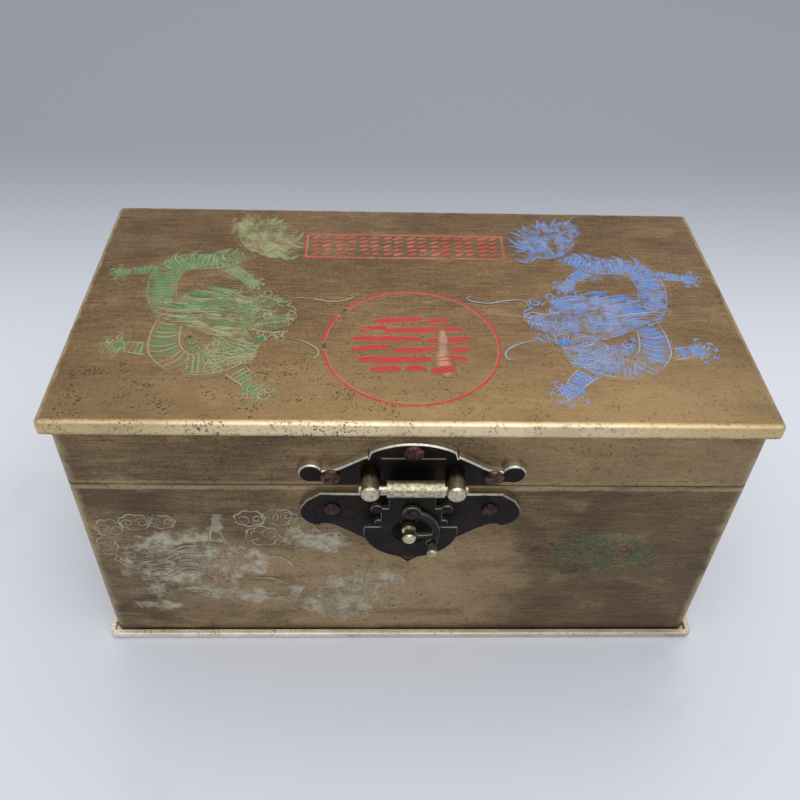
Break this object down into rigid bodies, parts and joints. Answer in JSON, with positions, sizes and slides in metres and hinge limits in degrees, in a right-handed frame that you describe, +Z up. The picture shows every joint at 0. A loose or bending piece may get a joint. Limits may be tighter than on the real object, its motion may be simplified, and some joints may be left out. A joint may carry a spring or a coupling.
{
  "type": "hinged metal jewelry box",
  "caption": "Rectangular brass box, hollow and open inside, with a hinged lid and a front latch made of a hinged flap and a swing hook.",
  "frame": {"origin": "centre of the underside of the base plate", "axes": "+X along the length towards the right of the latch side, +Y from the latch side to the hinge side, +Z up"},
  "size_m": [0.19, 0.115, 0.099],
  "materials": {
    "aged_brass": "aged and stained, faint brushed lines, worn paler at the edges",
    "dark_bronze": "cast, blackened, worn bright along the edges",
    "worn_nickel": "nickel plated, worn and slightly grainy",
    "copper_rivet": "reddish brown, rubbed"
  },
  "bodies": {
    "box": {"base_plate": "aged_brass", "body_walls": "aged_brass", "catch_post": "worn_nickel", "latch_lower_plate": "dark_bronze", "rivet_lower_left": "copper_rivet", "rivet_lower_right": "copper_rivet", "rivet_lower_tip": "copper_rivet", "hinge_left_body_leaf": "aged_brass", "hinge_left_body_rivet_1": "copper_rivet", "hinge_left_body_rivet_2": "copper_rivet", "hinge_left_pin": "worn_nickel", "hinge_right_body_leaf": "aged_brass", "hinge_right_body_rivet_1": "copper_rivet", "hinge_right_body_rivet_2": "copper_rivet", "hinge_right_pin": "worn_nickel"},
    "lid": {"lid_plate": "aged_brass", "lid_walls": "aged_brass", "latch_upper_plate": "dark_bronze", "latch_post_left": "worn_nickel", "latch_post_right": "worn_nickel", "hasp_pin": "worn_nickel", "rivet_crown": "copper_rivet", "rivet_upper_left": "copper_rivet", "rivet_upper_right": "copper_rivet", "hinge_left_lid_leaf": "aged_brass", "hinge_left_lid_rivet_1": "copper_rivet", "hinge_left_lid_rivet_2": "copper_rivet", "hinge_right_lid_leaf": "aged_brass", "hinge_right_lid_rivet_1": "copper_rivet", "hinge_right_lid_rivet_2": "copper_rivet"},
    "hasp": {"hasp_flap": "dark_bronze", "hook_rivet": "copper_rivet"},
    "hook": {"swing_hook": "dark_bronze"}
  },
  "joints": [
    {"name": "lid_hinge", "type": "hinge", "parent": "box", "child": "lid", "pos_m": [0, 0.0515, 0.0736], "axis": [-1, 0, 0], "range_deg": [0, 105]},
    {"name": "hasp_hinge", "type": "hinge", "parent": "lid", "child": "hasp", "pos_m": [0, -0.0566, 0.08115], "axis": [-1, 0, 0], "range_deg": [0, 150]},
    {"name": "hook_pivot", "type": "hinge", "parent": "hasp", "child": "hook", "pos_m": [0, -0.0567, 0.07165], "axis": [0, -1, 0], "range_deg": [0, 60]}
  ]
}
